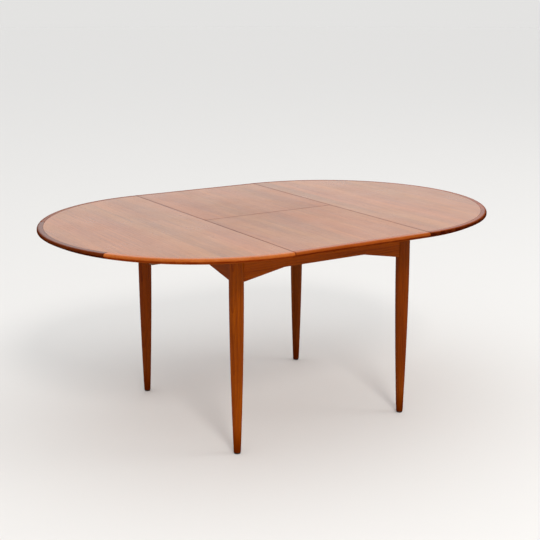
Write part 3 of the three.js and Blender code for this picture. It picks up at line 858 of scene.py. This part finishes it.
for word in ROWS:
    make_softened("apron_" + word, "frame", "teak_frame", APRON_EASE, ALONG_X, LONG_APRON_PAINTED_LIGHT)
    make_softened("guide_rail_" + word, "frame", "frame_hardwood", RAIL_EASE, ALONG_X)
for word in SIDES:
    make_softened("apron_" + word, "frame", "teak_frame", APRON_EASE, ALONG_Y, END_APRON_PAINTED_SHADE)
    make_softened("leaf_bearer_" + word, "frame", "frame_hardwood", BEARER_EASE, ALONG_Y)
    for row in ROWS:
        node = f"runner_{word}_{row}"
        make_softened(node, word + "_top", "frame_hardwood", RUNNER_EASE, ALONG_X, RUNNER_PAINTED_SHADE)
for word in CORNERS:
    node = "corner_block_" + word
    centre = middle_of(node)
    # The blocks lie across the corners, so their grain runs square to the line to the middle.
    make_softened(node, "frame", "frame_hardwood", BLOCK_EASE, (centre.y, -centre.x, 0))

# ---------- Pegs, screws and hinge barrels ----------


SMALL_EASE = 0.3 * MM  # ends of the small turned pieces
PEG_EASE = 0.8 * MM
BARREL_EASE = 0.4 * MM
THREAD_PITCH = 1.4 * MM
THREAD_CORE = 0.8  # share of the shank's radius
THREAD_END = 4 * MM  # plain length at the screw's point
SCREW_SLOT_WIDTH = 1.1 * MM
SCREW_SLOT_DEPTH = 1 * MM
RIB_PITCH = 1.6 * MM  # ribs round a hinge barrel
RIB_COUNT = 6
RIB_START = 3 * MM
LINK_SLOT_WIDTH = 3 * MM  # where a hinge's links fold in
LINK_SLOT_DEPTH = 7 * MM


def make_peg(node, body):
    """A wooden stop peg, rounded at its lower end."""
    lo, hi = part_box(node)
    centre = (lo + hi) / 2
    radius = (hi.x - lo.x) / 2
    length = hi.z - lo.z
    profile = [(radius - inset, depth) for depth, inset in rounding(PEG_EASE)]
    profile += [(radius, length - SMALL_EASE), (radius - SMALL_EASE, length)]
    obj = turned(node + "_peg", profile, (centre.x, centre.y, lo.z), sides=40)
    weighted_normals(obj)
    grain(obj, centre, UPWARD, ALONG_X)
    place_piece(obj, body, node, "frame_hardwood", tone=0.9)


RUNNER_SHANK = {"shank": 2 * MM, "head_depth": 3 * MM}
CORNER_SHANK = {"shank": 3 * MM, "head_depth": 4 * MM}


def make_screw(node, body, start, direction, head, length, slot_angle, shank, head_depth):
    """A slotted countersunk wood screw, from the middle of its head along a direction."""
    core = shank * THREAD_CORE
    profile = [(head - SMALL_EASE, 0), (head, 0.25 * MM), (head, 0.7 * MM), (shank, head_depth)]
    turns = int((length - head_depth - THREAD_END) / THREAD_PITCH)
    for i in range(turns):
        z = head_depth + THREAD_PITCH * (i + 0.5)
        profile += [(core, z), (shank, z + 0.5 * MM), (core, z + 1.0 * MM)]
    profile += [(core, length - 3 * MM), (0.2 * MM, length)]
    obj = turned(node + "_screw", profile, start, direction, sides=40)
    turn = Vector(UPWARD).rotation_difference(Vector(direction)).to_matrix().to_4x4()
    spin = Matrix.Rotation(math.radians(slot_angle), 4, "Z")
    slot = (2.4 * head, SCREW_SLOT_WIDTH, 2 * SCREW_SLOT_DEPTH)
    cut(obj, [box_cutter(slot, Matrix.Translation(start) @ turn @ spin)])
    weighted_normals(obj)
    place_piece(obj, body, node, "steel")


def make_barrel(node, body, row):
    """One half of a concealed cylinder hinge, with the slot that its links fold into."""
    lo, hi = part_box(node)
    centre = (lo + hi) / 2
    radius = (hi.x - lo.x) / 2
    length = hi.y - lo.y
    mouth = lo.y if row > 0 else hi.y
    profile = [(radius - inset, depth) for depth, inset in rounding(BARREL_EASE)]
    for i in range(RIB_COUNT):
        z = RIB_START + RIB_PITCH * i
        profile += [(radius, z), (radius - 0.25 * MM, z + 0.4 * MM), (radius, z + 0.8 * MM)]
    profile += [(radius, length - SMALL_EASE), (radius - SMALL_EASE, length)]
    start = (centre.x, mouth, centre.z)
    obj = turned(node + "_barrel", profile, start, (0, row, 0), sides=48)
    slot = (LINK_SLOT_WIDTH, 2 * LINK_SLOT_DEPTH, 2.4 * radius)
    cut(obj, [box_cutter(slot, Matrix.Translation(start))])
    weighted_normals(obj)
    place_piece(obj, body, node, "brass")


# Which way each runner screw's slot happened to stop, in degrees.
SLOT_ANGLES = {("front", 1): 20, ("front", 2): 75, ("back", 1): 140, ("back", 2): 100}
for side_word, side in SIDES.items():
    for row_word, row in ROWS.items():
        make_peg(f"stop_peg_{side_word}_{row_word}", side_word + "_top")
        for number in (1, 2):
            node = f"runner_screw_{side_word}_{row_word}_{number}"
            lo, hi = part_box(node)
            centre = (lo + hi) / 2
            head = (hi.x - lo.x) / 2
            start = (centre.x, centre.y, lo.z)
            length = hi.z - lo.z
            angle = SLOT_ANGLES[row_word, number] + 25 * side
            make_screw(node, side_word + "_top", start, UPWARD, head, length, angle, **RUNNER_SHANK)
for row_word, row in ROWS.items():
    for number in (1, 2, 3):
        make_barrel(f"hinge_barrel_{row_word}_{number}", "leaf_" + row_word, row)
for number, word in enumerate(CORNERS):
    node = "corner_screw_" + word
    lo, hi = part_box(node)
    centre = (lo + hi) / 2
    outward = Vector((math.copysign(1, centre.x), math.copysign(1, centre.y), 0)).normalized()
    head = (hi.z - lo.z) / 2
    # The screw lies at 45 degrees, so its head's edge sticks out of its length's box at one end.
    overhang = head / math.sqrt(2)
    length = ((hi.x - lo.x) - overhang) * math.sqrt(2)
    inner_x = lo.x if centre.x > 0 else hi.x
    inner_y = lo.y if centre.y > 0 else hi.y
    start_x = inner_x + math.copysign(overhang, centre.x)
    start_y = inner_y + math.copysign(overhang, centre.y)
    start = (start_x, start_y, centre.z)
    make_screw(node, "frame", start, outward, head, length, 30 + 50 * number, **CORNER_SHANK)

# ---------- Floor, light and camera ----------

FLOOR_COLOUR = (0.76, 0.75, 0.735, 1.0)
FLOOR_RADIUS = 60
HORIZON_COLOUR = (0.715, 0.71, 0.70, 1.0)
HAZE_COLOUR = (0.82, 0.83, 0.84, 1.0)
HAZE_HEIGHT = 0.16  # sine of the height above the horizon
WORLD_STRENGTH = 1.08
LIGHT_TARGET = (0, 0, 0.6)
# Each light's place, size across, power in watts and colour.
LIGHTS = {
    "key": ((-2.2, -7.3, 6.3), 2.3, 320, (1, 0.97, 0.93)),
    "fill": ((7.5, -5.0, 5.6), 4.4, 148, (1, 0.98, 0.96)),
}
CAMERA_PLACE = (-2.048, -3.271, 1.496)
CAMERA_YAW = 32.05  # degrees to the right of +Y
CAMERA_PITCH = 9.98  # degrees below the horizon
CAMERA_LENS = 71.2  # mm, for a 36 mm sensor
CAMERA_SHIFT = -0.15


def make_floor():
    """A wide, plain, pale floor with a fine speckle."""
    bm = bmesh.new()
    bmesh.ops.create_circle(bm, cap_ends=True, radius=FLOOR_RADIUS, segments=96)
    floor = new_object("floor", bm)
    n = Nodes("floor")
    place = n.add("TexCoord").outputs["Object"]
    speckle = n.noise(place, scale=900, detail=2)
    colour = n.mix(speckle, FLOOR_COLOUR, tuple(v * 0.97 for v in FLOOR_COLOUR))
    floor.data.materials.append(n.finish(Base_Color=colour, Roughness=0.75, Specular_IOR_Level=0.2))
    floor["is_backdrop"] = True


def make_light(name, location, size, power, colour):
    """A soft round light, aimed at the table."""
    data = bpy.data.lights.new(name, "AREA")
    data.shape = "DISK"
    data.size = size
    data.energy = power
    data.color = colour
    light = bpy.data.objects.new(name, data)
    light.location = location
    aim = Vector(LIGHT_TARGET) - Vector(location)
    light.rotation_euler = aim.to_track_quat("-Z", "Y").to_euler()
    bpy.context.scene.collection.objects.link(light)


def make_world():
    """A white dome, brighter overhead, that meets the floor in the floor's own colour."""
    world = bpy.data.worlds.new("studio")
    world.use_nodes = True
    nodes = world.node_tree.nodes
    links = world.node_tree.links
    direction = nodes.new("ShaderNodeTexCoord").outputs["Generated"]
    height = nodes.new("ShaderNodeSeparateXYZ")
    links.new(direction, height.inputs[0])
    ramp = nodes.new("ShaderNodeValToRGB")
    links.new(height.outputs["Z"], ramp.inputs[0])
    ramp.color_ramp.interpolation = "EASE"
    stops = ramp.color_ramp.elements
    stops[0].position, stops[0].color = 0.0, HORIZON_COLOUR
    stops[1].position, stops[1].color = 1.0, (1.0, 1.0, 1.0, 1.0)
    stops.new(HAZE_HEIGHT).color = HAZE_COLOUR
    background = nodes["Background"]
    links.new(ramp.outputs["Color"], background.inputs["Color"])
    background.inputs["Strength"].default_value = WORLD_STRENGTH
    bpy.context.scene.world = world


def make_camera():
    """The photograph's view, tilted down where the photograph was shifted."""
    data = bpy.data.cameras.new("camera")
    data.sensor_width = 36
    data.lens = CAMERA_LENS
    data.shift_y = CAMERA_SHIFT
    camera = bpy.data.objects.new("camera", data)
    camera.location = CAMERA_PLACE
    pitch = math.radians(90 - CAMERA_PITCH)
    camera.rotation_euler = (pitch, 0, math.radians(-CAMERA_YAW))
    bpy.context.scene.collection.objects.link(camera)
    bpy.context.scene.camera = camera


make_floor()
for name, look in LIGHTS.items():
    make_light(name, *look)
make_world()
make_camera()
bpy.context.scene.view_settings.view_transform = "Standard"

lo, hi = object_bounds()
